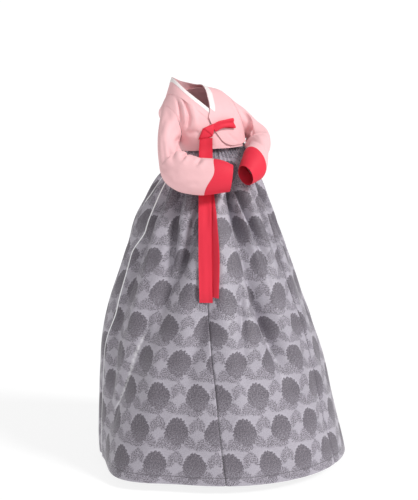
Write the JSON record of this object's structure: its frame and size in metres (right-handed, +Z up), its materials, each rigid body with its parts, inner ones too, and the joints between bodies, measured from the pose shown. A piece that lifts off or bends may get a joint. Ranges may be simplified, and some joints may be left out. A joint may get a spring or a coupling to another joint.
{
  "type": "korean hanbok",
  "caption": "Short jacket with a crossed collar, red cuffs and a bow-tied ribbon, worn over a full pleated skirt in silver-grey flowered cloth.",
  "frame": {"origin": "centre of the neck opening at shoulder level, where the wearer carries the garment", "axes": "+Z up, the wearer faces -Y, the wearer's right is -X"},
  "size_m": [1.037, 0.9855, 1.4642],
  "materials": {
    "jacket_cloth": "fine plain weave, soft sheen",
    "collar_strip": "smooth, crisp",
    "red_cloth": "smooth, soft sheen",
    "skirt_cloth": "jacquard with large flowers, satin sheen"
  },
  "bodies": {
    "root": {"back": "jacket_cloth", "front_right_inner": "jacket_cloth", "front_left_outer": "jacket_cloth", "sleeve_right": "jacket_cloth", "sleeve_left": "jacket_cloth", "git_collar": "jacket_cloth", "dongjeong_strip": "collar_strip", "cuff_right": "red_cloth", "cuff_left": "red_cloth", "goreum_knot": "red_cloth", "goreum_loop": "red_cloth", "goreum_tail_front": "red_cloth", "goreum_tail_second": "red_cloth", "skirt_width_1": "skirt_cloth", "skirt_width_2": "skirt_cloth", "skirt_width_3": "skirt_cloth", "skirt_width_4": "skirt_cloth", "skirt_width_5": "skirt_cloth", "skirt_width_6": "skirt_cloth", "skirt_chest_band": "skirt_cloth"}
  },
  "joints": []
}
